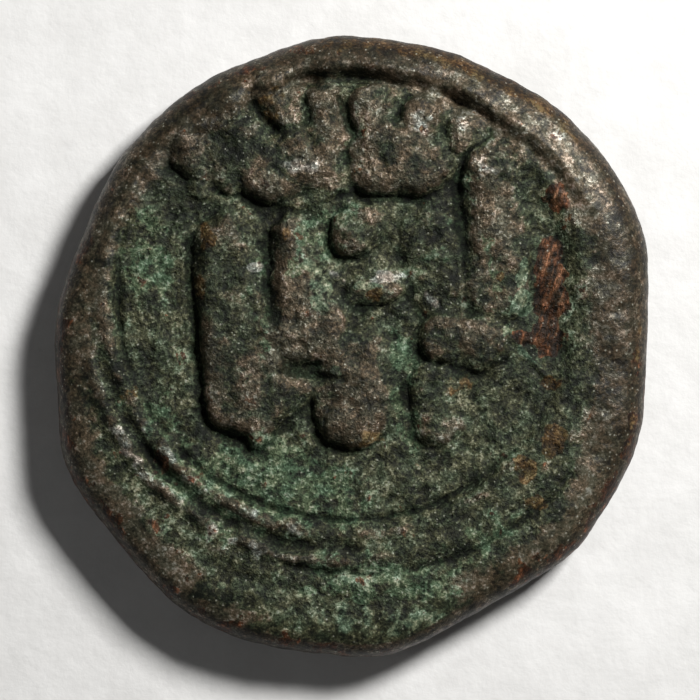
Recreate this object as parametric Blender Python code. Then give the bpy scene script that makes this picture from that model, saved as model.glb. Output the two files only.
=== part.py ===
"""A small medieval copper coin, struck by hand on a thick, uneven flan.

It lies on its reverse, with its obverse up. Metres, +Z up, +Y towards the top of the obverse. The origin is
at the centre of the outline's box, on the plane that the reverse rests on. The coin is one solid: a flan, the
raised strokes of both faces joined to it, and two hollows cut out of it. The flan's faces are sheets of rings
about one pole, the centre of the struck line circles, and the sheets meet at the widest loop of the edge.
"""

import math

import bmesh
import bpy
import numpy as np

MM = 0.001

# Flan: a round blank with flats hammered into its edge
FLAN_RADIUS = 6.625 * MM
FLAT_CORNER_SHARPNESS = 45.0
# A flat's chord counts only where the cosine of the turn away from its direction is at least this
LEAST_FACING = 0.2
# Each flat: the direction that it faces, in degrees from +X, and how deep it cuts into the round
FLATS = (
    (64.0, 0.04 * MM),
    (83.0, 0.11 * MM),
    (111.0, 0.28 * MM),
    (133.5, 0.37 * MM),
    (157.5, 0.56 * MM),
    (182.5, 0.43 * MM),
    (219.0, 0.205 * MM),
    (263.0, 0.01 * MM),
    (300.0, 0.425 * MM),
    (329.5, 0.235 * MM),
    (357.5, 0.395 * MM),
)

# Heights above the plane that the coin rests on
FIELD_HEIGHT = 1.60 * MM
EDGE_HEIGHT = 0.74 * MM
REVERSE_FIELD_HEIGHT = 0.10 * MM

# Worn shoulders, where each face rolls over into the edge
OBVERSE_SHOULDER = 1.05 * MM
REVERSE_SHOULDER = 0.80 * MM
SHOULDER_POWER = 2.4

# Place of the dies on the flan: the line circles sit high, so the lower border is wide
DIE_SHIFT_X = -0.14 * MM
DIE_SHIFT_Y = 0.97 * MM

# Two line circles of the obverse, each a groove with a ridge outside it
INNER_CIRCLE_RADIUS = 4.74 * MM
CIRCLE_GAP = 0.56 * MM
OUTER_CIRCLE_RADIUS = INNER_CIRCLE_RADIUS + CIRCLE_GAP
GROOVE_DEPTH = 0.10 * MM
GROOVE_WIDTH = 0.10 * MM
RIDGE_HEIGHT = 0.09 * MM
RIDGE_WIDTH = 0.13 * MM
INNER_RIDGE_OFFSET = 0.27 * MM
OUTER_RIDGE_OFFSET = 0.36 * MM
# Where the circles are struck up: direction in degrees, half span in degrees, strength
INNER_CIRCLE_ARCS = ((235.0, 75.0, 1.0), (72.0, 48.0, 1.0), (150.0, 40.0, 0.3), (345.0, 55.0, 0.35))
OUTER_CIRCLE_ARCS = ((228.0, 50.0, 1.0), (300.0, 45.0, 0.65))
# An arc fades out between these shares of its half span
ARC_FADE = (0.6, 1.2)

# Metal pushed up outside the circles, most towards the upper right
RIM_RISE = 0.14 * MM
RIM_RISE_WIDTH = 0.35 * MM
RIM_RISE_DIRECTION = 55.0
RIM_RISE_LEAST = 0.3

# Inscription band: worn raised strokes that stand in for the legend and are not letters
STROKE_HEIGHT = 0.30 * MM
STROKE_ROOT = 0.30 * MM
# Share of a stroke's width that its worn crown rounds off, and the crown's rings as shares of its height
STROKE_CROWN = 0.75
CROWN_RINGS = (0.12, 0.55, 0.85, 1.0)
STROKE_SIDES = 14
SAME_PLACE = 0.001 * MM
# Each stroke: its two ends from the centre of the circles, its radius at each end, and its share of
# STROKE_HEIGHT. All lengths are shares of INNER_CIRCLE_RADIUS.
UPPER_STROKES = {
    "left_knob": ((-0.651, 0.517), (-0.642, 0.491), 0.053, 0.061, 0.45),
    "left_lump": ((-0.620, 0.649), (-0.479, 0.631), 0.145, 0.167, 0.55),
    "left_shelf": ((-0.497, 0.798), (-0.199, 0.579), 0.114, 0.193, 0.40),
    "first_prong": ((-0.330, 0.912), (-0.269, 0.798), 0.083, 0.075, 0.60),
    "middle_lump": ((-0.339, 0.570), (-0.172, 0.609), 0.149, 0.145, 0.90),
    "second_prong": ((-0.128, 0.886), (-0.054, 0.702), 0.061, 0.079, 0.75),
    "top_saddle": ((-0.120, 0.535), (0.091, 0.561), 0.075, 0.075, 0.45),
    "third_prong": ((0.082, 0.860), (0.144, 0.693), 0.075, 0.088, 0.80),
    "cup_lump": ((0.157, 0.605), (0.297, 0.592), 0.158, 0.145, 0.90),
    "fourth_prong": ((0.332, 0.816), (0.280, 0.684), 0.083, 0.079, 0.80),
    "last_prong": ((0.517, 0.763), (0.495, 0.688), 0.070, 0.061, 0.55),
}
LOWER_STROKES = {
    "left_club": ((-0.532, 0.245), (-0.418, -0.413), 0.145, 0.206, 1.00),
    "club_toe": ((-0.365, -0.431), (-0.128, -0.396), 0.105, 0.053, 0.60),
    "pear": ((-0.269, 0.293), (-0.172, -0.123), 0.061, 0.176, 0.90),
    "middle_egg": ((0.021, -0.299), (0.021, -0.492), 0.149, 0.162, 0.95),
    "pellet": ((0.038, 0.298), (0.038, 0.298), 0.105, 0.105, 0.80),
    "lens": ((0.047, 0.039), (0.170, 0.039), 0.057, 0.061, 0.60),
    "right_shelf": ((0.345, 0.298), (0.442, 0.035), 0.114, 0.149, 0.35),
    "right_bar": ((0.635, 0.544), (0.666, 0.035), 0.132, 0.136, 0.90),
    "right_egg": ((0.433, -0.167), (0.600, -0.194), 0.110, 0.123, 0.85),
    "low_pellet": ((0.389, -0.369), (0.398, -0.545), 0.105, 0.097, 0.55),
}

# A deep nick between the upper strokes: its ends from the centre of the circles and its radius at each end,
# in shares of INNER_CIRCLE_RADIUS
NICK = ((-0.425, 0.855), (-0.300, 0.745), 0.030, 0.035)
NICK_DEPTH = 0.12 * MM

# Shallow hollow along the right of the field, where the patina has flaked off: its ends from the centre of
# the circles and its radius
FLAKE = ((4.22 * MM, 2.05 * MM), (4.30 * MM, -0.85 * MM), 0.58 * MM)
FLAKE_DEPTH = 0.07 * MM
# The hollows' sides: what share of the width is left on the floor, and how far their cutters stand above
# the field
HOLLOW_FLOOR_SHARE = 0.55
CUTTER_REACH = 0.5 * MM

# Reverse: one line circle and a row of worn strokes, all rubbed flat in the plane that the coin rests on
REVERSE_CIRCLE_RADIUS = 4.55 * MM
REVERSE_LINE_WIDTH = 0.62 * MM
REVERSE_LINE_TOP = 0.22 * MM
REVERSE_CROWN = 0.40
# Ends from the flan's centre and radius, in shares of REVERSE_CIRCLE_RADIUS
REVERSE_STROKES = {
    "left_bar": ((-0.470, 0.300), (-0.430, -0.260), 0.150),
    "centre_bar": ((-0.010, 0.400), (0.020, -0.330), 0.180),
    "right_bar": ((0.450, 0.330), (0.470, -0.200), 0.150),
    "low_pellet": ((0.240, -0.600), (0.240, -0.600), 0.120),
}

# Mesh: rings of the square grid about the pole, then rings across the border and the edge
GRID_RINGS = 14
GRID_REACH = 4.10 * MM
EDGE_BAND = 0.45 * MM
BORDER_SQUEEZE = 0.15 * MM
MARGIN_RINGS = 3
REVERSE_MARGIN_RINGS = 2
EDGE_RING_INSETS = (0.30 * MM, 0.18 * MM, 0.08 * MM, 0.02 * MM)
OUTLINE_SAMPLES = 1440

PATINA_COLOUR = (0.070, 0.082, 0.062, 1.0)
PATINA_ROUGHNESS = 0.48
PATINA_METALLIC = 0.35
SMOOTH_ANGLE = 40.0


def clear_scene():
    """Removes every object that is there."""
    for found in list(bpy.data.objects):
        bpy.data.objects.remove(found)


def smooth_step(low, high, value):
    """0 below low, 1 above high, and a smooth rise between them."""
    share = np.clip((value - low) / (high - low), 0.0, 1.0)
    return share * share * (3.0 - 2.0 * share)


def flan_radius(angle):
    """The outline's distance from the flan's centre: a soft minimum of the round and the flats' chords."""
    nearest = FLAN_RADIUS**-FLAT_CORNER_SHARPNESS
    for direction, depth in FLATS:
        facing = np.cos(angle - math.radians(direction))
        chord = (FLAN_RADIUS - depth) / np.maximum(facing, LEAST_FACING)
        nearest = nearest + chord**-FLAT_CORNER_SHARPNESS
    return nearest ** (-1.0 / FLAT_CORNER_SHARPNESS)


def outline_points():
    """The outline as many points, moved so that the centre of its box is at the origin."""
    angle = np.linspace(0.0, 2.0 * math.pi, OUTLINE_SAMPLES, endpoint=False)
    radius = flan_radius(angle)
    points = np.stack([radius * np.cos(angle), radius * np.sin(angle)], axis=1)
    return points - (points.max(axis=0) + points.min(axis=0)) / 2.0


def seen_from(centre, points):
    """The points' directions and distances from a centre, in order of direction."""
    offset = points - centre
    direction = np.arctan2(offset[:, 1], offset[:, 0])
    order = np.argsort(direction)
    return direction[order], np.hypot(offset[:, 0], offset[:, 1])[order]


POLE = np.array([DIE_SHIFT_X, DIE_SHIFT_Y])
OUTLINE_DIRECTIONS, OUTLINE_DISTANCES = seen_from(POLE, outline_points())
WIDEST_REACH = OUTLINE_DISTANCES.max() - EDGE_BAND


def reach_to_outline(angle):
    """How far the outline is from the pole in that direction."""
    return np.interp(angle, OUTLINE_DIRECTIONS, OUTLINE_DISTANCES, period=2.0 * math.pi)


def ring_distance(station, angle):
    """Where a ring lies in that direction.

    A station is the ring's distance from the pole where the border is widest. Where the border is narrower,
    the outer stations are drawn together into its last BORDER_SQUEEZE.
    """
    reach = reach_to_outline(angle) - EDGE_BAND
    free = np.where(reach < WIDEST_REACH, reach - BORDER_SQUEEZE, WIDEST_REACH)
    beyond = max(station - free, 0.0) / max(WIDEST_REACH - free, BORDER_SQUEEZE)
    return min(station, free) + beyond * (reach - free)


def arc_strength(angle, arcs):
    """How clearly a circle is struck up in that direction: the strongest of its arcs."""
    strongest = 0.0
    for direction, half_span, strength in arcs:
        turn = abs((math.degrees(angle) - direction + 180.0) % 360.0 - 180.0)
        strongest = max(strongest, strength * (1.0 - smooth_step(*ARC_FADE, turn / half_span)))
    return strongest


def ridge(value, centre, width):
    """A rounded ridge of height 1 across value."""
    return math.exp(-(((value - centre) / width) ** 2))


def circle_relief(distance, angle):
    """The two line circles about the pole, each a groove with a ridge outside it."""
    inner = RIDGE_HEIGHT * ridge(distance, INNER_CIRCLE_RADIUS + INNER_RIDGE_OFFSET, RIDGE_WIDTH)
    inner -= GROOVE_DEPTH * ridge(distance, INNER_CIRCLE_RADIUS, GROOVE_WIDTH)
    outer = RIDGE_HEIGHT * ridge(distance, OUTER_CIRCLE_RADIUS + OUTER_RIDGE_OFFSET, RIDGE_WIDTH)
    outer -= GROOVE_DEPTH * ridge(distance, OUTER_CIRCLE_RADIUS, GROOVE_WIDTH)
    return inner * arc_strength(angle, INNER_CIRCLE_ARCS) + outer * arc_strength(angle, OUTER_CIRCLE_ARCS)


def rim_relief(distance, angle):
    """The border's rise outside the inner circle, highest in RIM_RISE_DIRECTION."""
    rise = smooth_step(INNER_CIRCLE_RADIUS - RIM_RISE_WIDTH, INNER_CIRCLE_RADIUS + RIM_RISE_WIDTH, distance)
    lean = 0.5 + 0.5 * math.cos(angle - math.radians(RIM_RISE_DIRECTION))
    return RIM_RISE * rise * (RIM_RISE_LEAST + (1.0 - RIM_RISE_LEAST) * lean)


def shoulder(inset, width):
    """Share of a face's height left at this inset from the outline: 0 on the edge and 1 past the shoulder."""
    outside = 1.0 - np.clip(inset / width, 0.0, 1.0)
    return (1.0 - outside**SHOULDER_POWER) ** (1.0 / SHOULDER_POWER)


def obverse_height(distance, angle):
    """Height of the flan's upper face at a distance and direction from the pole."""
    face = FIELD_HEIGHT + rim_relief(distance, angle) + circle_relief(distance, angle)
    inset = reach_to_outline(angle) - distance
    return EDGE_HEIGHT + (face - EDGE_HEIGHT) * shoulder(inset, OBVERSE_SHOULDER)


def reverse_height(distance, angle):
    """Height of the flan's lower face: a flat field and a line circle that hangs down to the plane at 0."""
    off_line = abs(distance - REVERSE_CIRCLE_RADIUS) - REVERSE_LINE_TOP / 2.0
    side = (REVERSE_LINE_WIDTH - REVERSE_LINE_TOP) / 2.0
    face = REVERSE_FIELD_HEIGHT * np.clip(off_line / side, 0.0, 1.0)
    inset = reach_to_outline(angle) - distance
    return EDGE_HEIGHT - (EDGE_HEIGHT - face) * shoulder(inset, REVERSE_SHOULDER)


def disc_place(across, up):
    """The share of the radius and the direction of a square grid's point: nested squares become circles."""
    if across == 0.0 and up == 0.0:
        return 0.0, 0.0
    if abs(across) > abs(up):
        return abs(across), math.pi / 4.0 * up / across + (math.pi if across < 0.0 else 0.0)
    return abs(up), math.pi / 2.0 - math.pi / 4.0 * across / up + (math.pi if up < 0.0 else 0.0)


def put(vert, distance, angle, height):
    """Moves a vertex to a distance and direction from the pole, on the face that height describes."""
    x = POLE[0] + distance * math.cos(angle)
    y = POLE[1] + distance * math.sin(angle)
    vert.co = (x, y, height(distance, angle))


def add_ring(mesh, border, place_ring, height):
    """Extrudes a sheet's border once, moves the new ring to where place_ring says and returns it."""
    made = bmesh.ops.extrude_edge_only(mesh, edges=border)["geom"]
    for vert in (item for item in made if isinstance(item, bmesh.types.BMVert)):
        angle = math.atan2(vert.co.y - POLE[1], vert.co.x - POLE[0])
        put(vert, float(place_ring(angle)), angle, height)
    return [item for item in made if isinstance(item, bmesh.types.BMEdge) and item.is_boundary]


def add_face_sheet(mesh, stations, insets, height):
    """One face of the flan: a square grid drawn round, then rings over the border and the shoulder."""
    before = set(mesh.edges)
    grid = bmesh.ops.create_grid(mesh, x_segments=2 * GRID_RINGS, y_segments=2 * GRID_RINGS, size=1.0)
    for vert in grid["verts"]:
        share, angle = disc_place(vert.co.x, vert.co.y)
        put(vert, float(ring_distance(share * GRID_REACH, angle)), angle, height)
    border = [edge for edge in mesh.edges if edge not in before and edge.is_boundary]
    for station in stations:
        border = add_ring(mesh, border, lambda angle, s=station: ring_distance(s, angle), height)
    for inset in insets:
        border = add_ring(mesh, border, lambda angle, d=inset: reach_to_outline(angle) - d, height)
    return border


def obverse_stations():
    """Ring stations over the obverse border: on grooves, ridges and slopes, then across the margin."""
    turns = (
        INNER_CIRCLE_RADIUS,
        INNER_CIRCLE_RADIUS + INNER_RIDGE_OFFSET,
        OUTER_CIRCLE_RADIUS,
        OUTER_CIRCLE_RADIUS + OUTER_RIDGE_OFFSET,
    )
    stations = [INNER_CIRCLE_RADIUS - RIM_RISE_WIDTH, INNER_CIRCLE_RADIUS - GROOVE_WIDTH, INNER_CIRCLE_RADIUS]
    for near, far in zip(turns[:-1], turns[1:]):
        stations += [(near + far) / 2.0, far]
    margin = np.linspace(turns[-1], WIDEST_REACH, MARGIN_RINGS + 2)[1:]
    return [station for station in sorted((*stations, *margin)) if GRID_REACH < station <= WIDEST_REACH]


def reverse_stations():
    """Ring stations over the reverse border: the four corners of the line circle, then the margin."""
    half_width, half_top = REVERSE_LINE_WIDTH / 2.0, REVERSE_LINE_TOP / 2.0
    stations = [REVERSE_CIRCLE_RADIUS + side for side in (-half_width, -half_top, half_top, half_width)]
    margin = np.linspace(stations[-1], WIDEST_REACH, REVERSE_MARGIN_RINGS + 2)[1:]
    return [station for station in sorted((*stations, *margin)) if GRID_REACH < station <= WIDEST_REACH]


def stroke_body(name, first, last, radii, levels):
    """A closed stroke with round ends, tapered from one radius to the other.

    It is the hull of two stacks of circles. Each level is a height and the share of the radii that is left
    there. A pellet has both ends in one place and one stack.
    """
    turn = np.linspace(0.0, 2.0 * math.pi, STROKE_SIDES, endpoint=False)
    circle = np.stack([np.cos(turn), np.sin(turn)], axis=1)
    ends = [first] if np.allclose(first, last, rtol=0.0, atol=SAME_PLACE) else [first, last]
    mesh = bmesh.new()
    for height, share in levels:
        for end, radius in zip(ends, radii):
            for x, y in np.array(end) + share * radius * circle:
                mesh.verts.new((x, y, height))
    hull = bmesh.ops.convex_hull(mesh, input=list(mesh.verts))
    unused = hull["geom_interior"] + hull["geom_unused"]
    spare = {item for item in unused if isinstance(item, bmesh.types.BMVert)}
    bmesh.ops.delete(mesh, geom=list(spare), context="VERTS")
    bmesh.ops.recalc_face_normals(mesh, faces=list(mesh.faces))
    return add_object(name, mesh)


def add_object(name, mesh):
    """Puts a finished mesh into the scene under that name, shaded smooth, with the coin's patina."""
    data = bpy.data.meshes.new(name)
    mesh.to_mesh(data)
    mesh.free()
    data.shade_smooth()
    data.set_sharp_from_angle(angle=math.radians(SMOOTH_ANGLE))
    data.materials.append(patina_material())
    made = bpy.data.objects.new(name, data)
    bpy.context.scene.collection.objects.link(made)
    return made


def crown_levels(base, height, crown):
    """Levels of a stroke that stands out by height from base.

    A straight root stands inside the flan. The crown over it is a quarter ellipse that takes away its share
    of the width. A negative height points down.
    """
    root = base - math.copysign(STROKE_ROOT, height)
    rounded = [(base + height * ring, 1.0 - crown * (1.0 - math.sqrt(1.0 - ring**2))) for ring in CROWN_RINGS]
    return [(root, 1.0), *rounded]


def obverse_stroke(name, first, last, first_radius, last_radius, share):
    """One raised stroke of the inscription band."""
    scale = INNER_CIRCLE_RADIUS
    levels = crown_levels(FIELD_HEIGHT, share * STROKE_HEIGHT, STROKE_CROWN)
    ends = [POLE + scale * np.array(end) for end in (first, last)]
    return stroke_body(name, *ends, (scale * first_radius, scale * last_radius), levels)


def reverse_stroke(name, first, last, radius):
    """One worn stroke of the reverse, with its flat in the plane at 0."""
    scale = REVERSE_CIRCLE_RADIUS
    levels = crown_levels(REVERSE_FIELD_HEIGHT, -REVERSE_FIELD_HEIGHT, REVERSE_CROWN)
    ends = [scale * np.array(end) for end in (first, last)]
    return stroke_body(name, *ends, (scale * radius, scale * radius), levels)


def hollow_cutter(name, first, last, radii, depth):
    """What is cut away for a hollow: its floor lies depth under the field, and its sides lean outwards."""
    spread = (1.0 - HOLLOW_FLOOR_SHARE) * CUTTER_REACH / depth
    levels = [(FIELD_HEIGHT - depth, HOLLOW_FLOOR_SHARE), (FIELD_HEIGHT + CUTTER_REACH, 1.0 + spread)]
    return stroke_body(name, POLE + np.array(first), POLE + np.array(last), radii, levels)


def patina_material():
    """Dark green-brown patina over copper."""
    material = bpy.data.materials.get("dark_patina") or bpy.data.materials.new("dark_patina")
    material.use_nodes = True
    shader = material.node_tree.nodes["Principled BSDF"]
    shader.inputs["Base Color"].default_value = PATINA_COLOUR
    shader.inputs["Roughness"].default_value = PATINA_ROUGHNESS
    shader.inputs["Metallic"].default_value = PATINA_METALLIC
    return material


def combine(coin, operation, helpers):
    """Joins helper bodies to the coin, or cuts them out of it, and keeps them out of the render."""
    group = bpy.data.collections.new(operation.lower())
    for helper in helpers:
        helper.hide_render = True
        helper.display_type = "WIRE"
        group.objects.link(helper)
    boolean = coin.modifiers.new(operation.lower(), "BOOLEAN")
    boolean.operation = operation
    boolean.operand_type = "COLLECTION"
    boolean.collection = group


def build_flan():
    """The flan as one closed body: two face sheets, joined at the widest loop of the edge."""
    mesh = bmesh.new()
    upper = add_face_sheet(mesh, obverse_stations(), (*EDGE_RING_INSETS, 0.0), obverse_height)
    lower = add_face_sheet(mesh, reverse_stations(), EDGE_RING_INSETS, reverse_height)
    bmesh.ops.bridge_loops(mesh, edges=upper + lower)
    bmesh.ops.recalc_face_normals(mesh, faces=list(mesh.faces))
    return add_object("coin", mesh)


def build_coin():
    """The flan with its strokes joined on and its two hollows cut out."""
    coin = build_flan()
    legend = {**UPPER_STROKES, **LOWER_STROKES}
    strokes = [obverse_stroke(name, *shape) for name, shape in legend.items()]
    strokes += [reverse_stroke("reverse_" + name, *shape) for name, shape in REVERSE_STROKES.items()]
    combine(coin, "UNION", strokes)
    scale = INNER_CIRCLE_RADIUS
    first, last, first_radius, last_radius = NICK
    nick_ends = (scale * np.array(first), scale * np.array(last))
    nick = hollow_cutter("nick", *nick_ends, (scale * first_radius, scale * last_radius), NICK_DEPTH)
    flake_first, flake_last, flake_radius = FLAKE
    flake = hollow_cutter("flake", flake_first, flake_last, (flake_radius, flake_radius), FLAKE_DEPTH)
    combine(coin, "DIFFERENCE", [nick, flake])
    return coin


clear_scene()
build_coin()
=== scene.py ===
"""A small medieval copper coin with a dark green-brown patina, lying on its reverse under soft studio light.

The coin is one closed numpy surface. Each face is a height field over a round grid about the centre of the
struck circles, and the faces meet at the widest loop of the edge. Sizes and places are in millimetres from
the centre of the outline's box. CoinMesh puts the finished points into metres.
"""

import logging
import math
from dataclasses import dataclass, field
from enum import Enum
from itertools import product

import bpy
import numpy as np
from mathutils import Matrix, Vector


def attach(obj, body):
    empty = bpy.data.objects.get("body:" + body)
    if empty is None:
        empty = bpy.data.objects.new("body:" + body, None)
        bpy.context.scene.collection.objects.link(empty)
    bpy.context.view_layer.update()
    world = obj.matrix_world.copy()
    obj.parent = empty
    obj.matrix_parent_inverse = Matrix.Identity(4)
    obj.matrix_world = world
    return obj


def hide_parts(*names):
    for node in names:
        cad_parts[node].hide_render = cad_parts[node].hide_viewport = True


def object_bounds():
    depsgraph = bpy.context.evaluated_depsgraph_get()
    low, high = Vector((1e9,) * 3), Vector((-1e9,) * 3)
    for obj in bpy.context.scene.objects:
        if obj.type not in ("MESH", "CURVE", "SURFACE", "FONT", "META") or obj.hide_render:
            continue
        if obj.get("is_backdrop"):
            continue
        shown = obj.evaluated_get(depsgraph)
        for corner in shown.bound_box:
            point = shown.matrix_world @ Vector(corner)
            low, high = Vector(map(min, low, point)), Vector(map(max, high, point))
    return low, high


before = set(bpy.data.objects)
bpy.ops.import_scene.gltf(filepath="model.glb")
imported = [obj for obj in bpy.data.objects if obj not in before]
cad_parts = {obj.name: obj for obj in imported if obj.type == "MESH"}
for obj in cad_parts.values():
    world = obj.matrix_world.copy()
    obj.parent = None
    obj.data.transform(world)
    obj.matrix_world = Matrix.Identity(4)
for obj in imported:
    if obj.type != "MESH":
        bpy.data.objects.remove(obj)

log = logging.getLogger("coin")

Array = np.ndarray
Pair = tuple[float, float]

MM = 0.001
NODE = "coin"
BODY = "root"
TURN = 2.0 * math.pi
ARC_FADE = (0.6, 1.2)
PATCH_FADE = (0.55, 1.25)
ROUGH_FALL = 0.6


class Face(Enum):
    """The two faces of the coin."""

    OBVERSE = "obverse"
    REVERSE = "reverse"


def smooth_step(low: float, high: float, value: Array) -> Array:
    """0 below low, 1 above high, and the cubic 3s^2 - 2s^3 of the share s between them."""
    share = np.clip((value - low) / (high - low), 0.0, 1.0)
    return share * share * (3.0 - 2.0 * share)


def bell(value: Array, width: float) -> Array:
    """A rounded ridge of height 1 at 0: e to the power of minus (value / width) squared."""
    return np.exp(-((value / width) ** 2))


def quarter_round(share: Array) -> Array:
    """A quarter circle up from 0 to 1: the root of 1 less the square of what is left to go."""
    return np.sqrt(1.0 - (1.0 - np.clip(share, 0.0, 1.0)) ** 2)


def direction_of(place: Array) -> Array:
    """Direction of each place from the origin, in degrees from 0 to 360, counter-clockwise from +X."""
    return np.degrees(np.arctan2(place[..., 1], place[..., 0])) % 360.0


def leaning(direction: Array, towards: float, least: float) -> Array:
    """A share: 1 towards one direction in degrees, and down as a cosine to least on the far side."""
    lean = 0.5 + 0.5 * np.cos(np.radians(direction - towards))
    return least + (1.0 - least) * lean


@dataclass
class Noise:
    """Smooth gradient noise over space, the same on each run.

    Each lattice corner has a gradient drawn from a seeded table. A point's value is the sum, over its cell's
    eight corners, of gradient times offset, weighted by the fade 6s^5 - 15s^4 + 10s^3 along each axis.
    """

    seed: int
    cells: int = 256
    gain: float = 1.8
    octave_apart: float = 31.7

    def __post_init__(self) -> None:
        """Draws the gradients and the order in which the lattice picks them."""
        draw = np.random.default_rng(self.seed)
        gradients = draw.normal(size=(self.cells, 3))
        self.gradients = gradients / np.linalg.norm(gradients, axis=1, keepdims=True)
        self.order = draw.permutation(self.cells)

    def at(self, points: Array) -> Array:
        """Noise value at points.

        Args:
            points: (..., 3) lattice coordinates, one cell to a unit.

        Returns:
            (...) values, mostly between -1 and 1.
        """
        base = np.floor(points).astype(np.int64)
        offset = points - base
        fade = offset**3 * (offset * (offset * 6.0 - 15.0) + 10.0)
        total = np.zeros(points.shape[:-1])
        for step in product((0, 1), repeat=3):
            cell = (base + np.array(step)) % self.cells
            pick = self.order[(cell[..., 0] + self.order[cell[..., 1]]) % self.cells]
            pick = self.order[(pick + cell[..., 2]) % self.cells]
            slope = ((offset - np.array(step)) * self.gradients[pick]).sum(axis=-1)
            total += slope * np.where(np.array(step) == 1, fade, 1.0 - fade).prod(axis=-1)
        return self.gain * total

    def fractal(self, points: Array, size: float, octaves: int = 4, fall: float = 0.5) -> Array:
        """Sum of octaves of noise, each half the size of the one before and fall times as strong.

        Args:
            points: (..., 3) places in millimetres.
            size: Size of the largest lumps in millimetres.
            octaves: Number of octaves.
            fall: Strength of each octave over the one before.

        Returns:
            (...) values, mostly between -1 and 1.
        """
        total = np.zeros(points.shape[:-1])
        for octave in range(octaves):
            shifted = points * (2.0**octave / size) + self.octave_apart * octave
            total += fall**octave * self.at(shifted)
        return total / sum(fall**octave for octave in range(octaves))

    def shift(self, points: Array, apart: float, size: float) -> Array:
        """Two fractals of lumps of a size, read at places set apart, as a (..., 2) shift."""
        return np.stack([self.fractal(points + apart * axis, size) for axis in (1, 2)], axis=-1)


def lifted(place: Array) -> Array:
    """Puts (..., 2) places at height 0, as (..., 3) points, so that noise can be read there."""
    return np.concatenate([place, np.zeros((*place.shape[:-1], 1))], axis=-1)


def way_of(angle: Array) -> Array:
    """The unit vectors in directions in radians."""
    return np.stack([np.cos(angle), np.sin(angle)], axis=-1)


def linked(name: str, data: bpy.types.ID) -> bpy.types.Object:
    """A new object in the scene."""
    made = bpy.data.objects.new(name, data)
    bpy.context.scene.collection.objects.link(made)
    return made


@dataclass(frozen=True)
class Flat:
    """One flat hammered into the edge: the direction that it faces, in degrees, and its depth."""

    direction: float
    depth: float


@dataclass
class Outline:
    """The flan's outline: a round blank with hammered flats, and a rough edge."""

    radius: float = 6.625
    corner_sharpness: float = 45.0
    least_facing: float = 0.2
    samples: int = 2880
    rough_depth: float = 0.035
    rough_size: float = 0.9
    rough_least: float = -0.3
    flats: tuple[Flat, ...] = (
        Flat(64.0, 0.04),
        Flat(83.0, 0.11),
        Flat(111.0, 0.28),
        Flat(133.5, 0.37),
        Flat(157.5, 0.56),
        Flat(182.5, 0.43),
        Flat(219.0, 0.205),
        Flat(263.0, 0.01),
        Flat(300.0, 0.425),
        Flat(329.5, 0.235),
        Flat(357.5, 0.395),
    )
    noise: Noise = field(default_factory=lambda: Noise(seed=11))

    def distance(self, angle: Array) -> Array:
        """Distance from the flan's centre: a soft minimum of the round radius and of each flat's chord.

        Args:
            angle: Directions in radians.

        Returns:
            Distances in millimetres.
        """
        nearest = np.full_like(angle, self.radius**-self.corner_sharpness)
        for flat in self.flats:
            facing = np.maximum(np.cos(angle - math.radians(flat.direction)), self.least_facing)
            nearest += ((self.radius - flat.depth) / facing) ** -self.corner_sharpness
        return nearest ** (-1.0 / self.corner_sharpness)

    def points(self) -> Array:
        """The outline as points, centred on its own box. Its roughness only cuts into the clean outline."""
        angle = np.linspace(0.0, TURN, self.samples, endpoint=False)
        way = way_of(angle)
        clean = self.distance(angle)[:, None] * way
        centre = (clean.max(axis=0) + clean.min(axis=0)) / 2.0
        rough = np.maximum(self.noise.fractal(lifted(clean), self.rough_size), self.rough_least)
        return clean - centre - way * (self.rough_depth * rough)[:, None]

    def reach(self, pole: Array, angle: Array) -> Array:
        """Distance from a pole to the outline in each direction.

        Args:
            pole: (2,) place of the pole.
            angle: Directions in radians as seen from the pole.

        Returns:
            Distances in millimetres.
        """
        seen = self.points() - pole
        direction = np.arctan2(seen[:, 1], seen[:, 0])
        order = np.argsort(direction)
        distance = np.hypot(seen[:, 0], seen[:, 1])
        return np.interp(angle, direction[order], distance[order], period=TURN)


@dataclass(frozen=True)
class Arc:
    """A stretch of a line circle that is struck up: its middle and half span in degrees, and its strength."""

    middle: float
    half_span: float
    strength: float

    def share(self, direction: Array) -> Array:
        """Strength of the stretch in each direction, in degrees, fading out towards its ends."""
        turn = np.abs((direction - self.middle + 180.0) % 360.0 - 180.0)
        return self.strength * (1.0 - smooth_step(*ARC_FADE, turn / self.half_span))


@dataclass(frozen=True)
class LineCircle:
    """One struck line circle: a groove with a ridge outside it, each in the stretches where it came up.

    A circle that came up uneven has its own centre, shifted from the pole.
    """

    radius: float
    shift: Pair
    grooves: tuple[Arc, ...]
    ridges: tuple[Arc, ...]
    ridge_offset: float = 0.28
    groove_depth: float = 0.09
    groove_width: float = 0.06
    ridge_height: float = 0.14
    ridge_width: float = 0.18
    wander: float = 0.06
    break_size: float = 0.55
    break_depth: float = 1.1

    def relief(self, place: Array, noise: Noise) -> Array:
        """Height of the circle's relief: minus a bell along the groove, plus a bell along the ridge.

        Args:
            place: (..., 2) places from the circle's centre.
            noise: What breaks the line up and lets it wander.

        Returns:
            (...) heights in millimetres.
        """
        place = place - np.array(self.shift)
        direction = direction_of(place)
        around = noise.fractal(lifted(place), self.break_size, octaves=3)
        distance = np.linalg.norm(place, axis=-1) + self.wander * around
        groove = self.groove_depth * bell(distance - self.radius, self.groove_width)
        crest = self.ridge_height * bell(distance - self.radius - self.ridge_offset, self.ridge_width)
        deep = strongest(self.grooves, direction) * (1.0 - self.break_depth * around)
        high = strongest(self.ridges, direction) * (1.0 + self.break_depth * around)
        return high * crest - np.maximum(deep, 0.0) * groove


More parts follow.
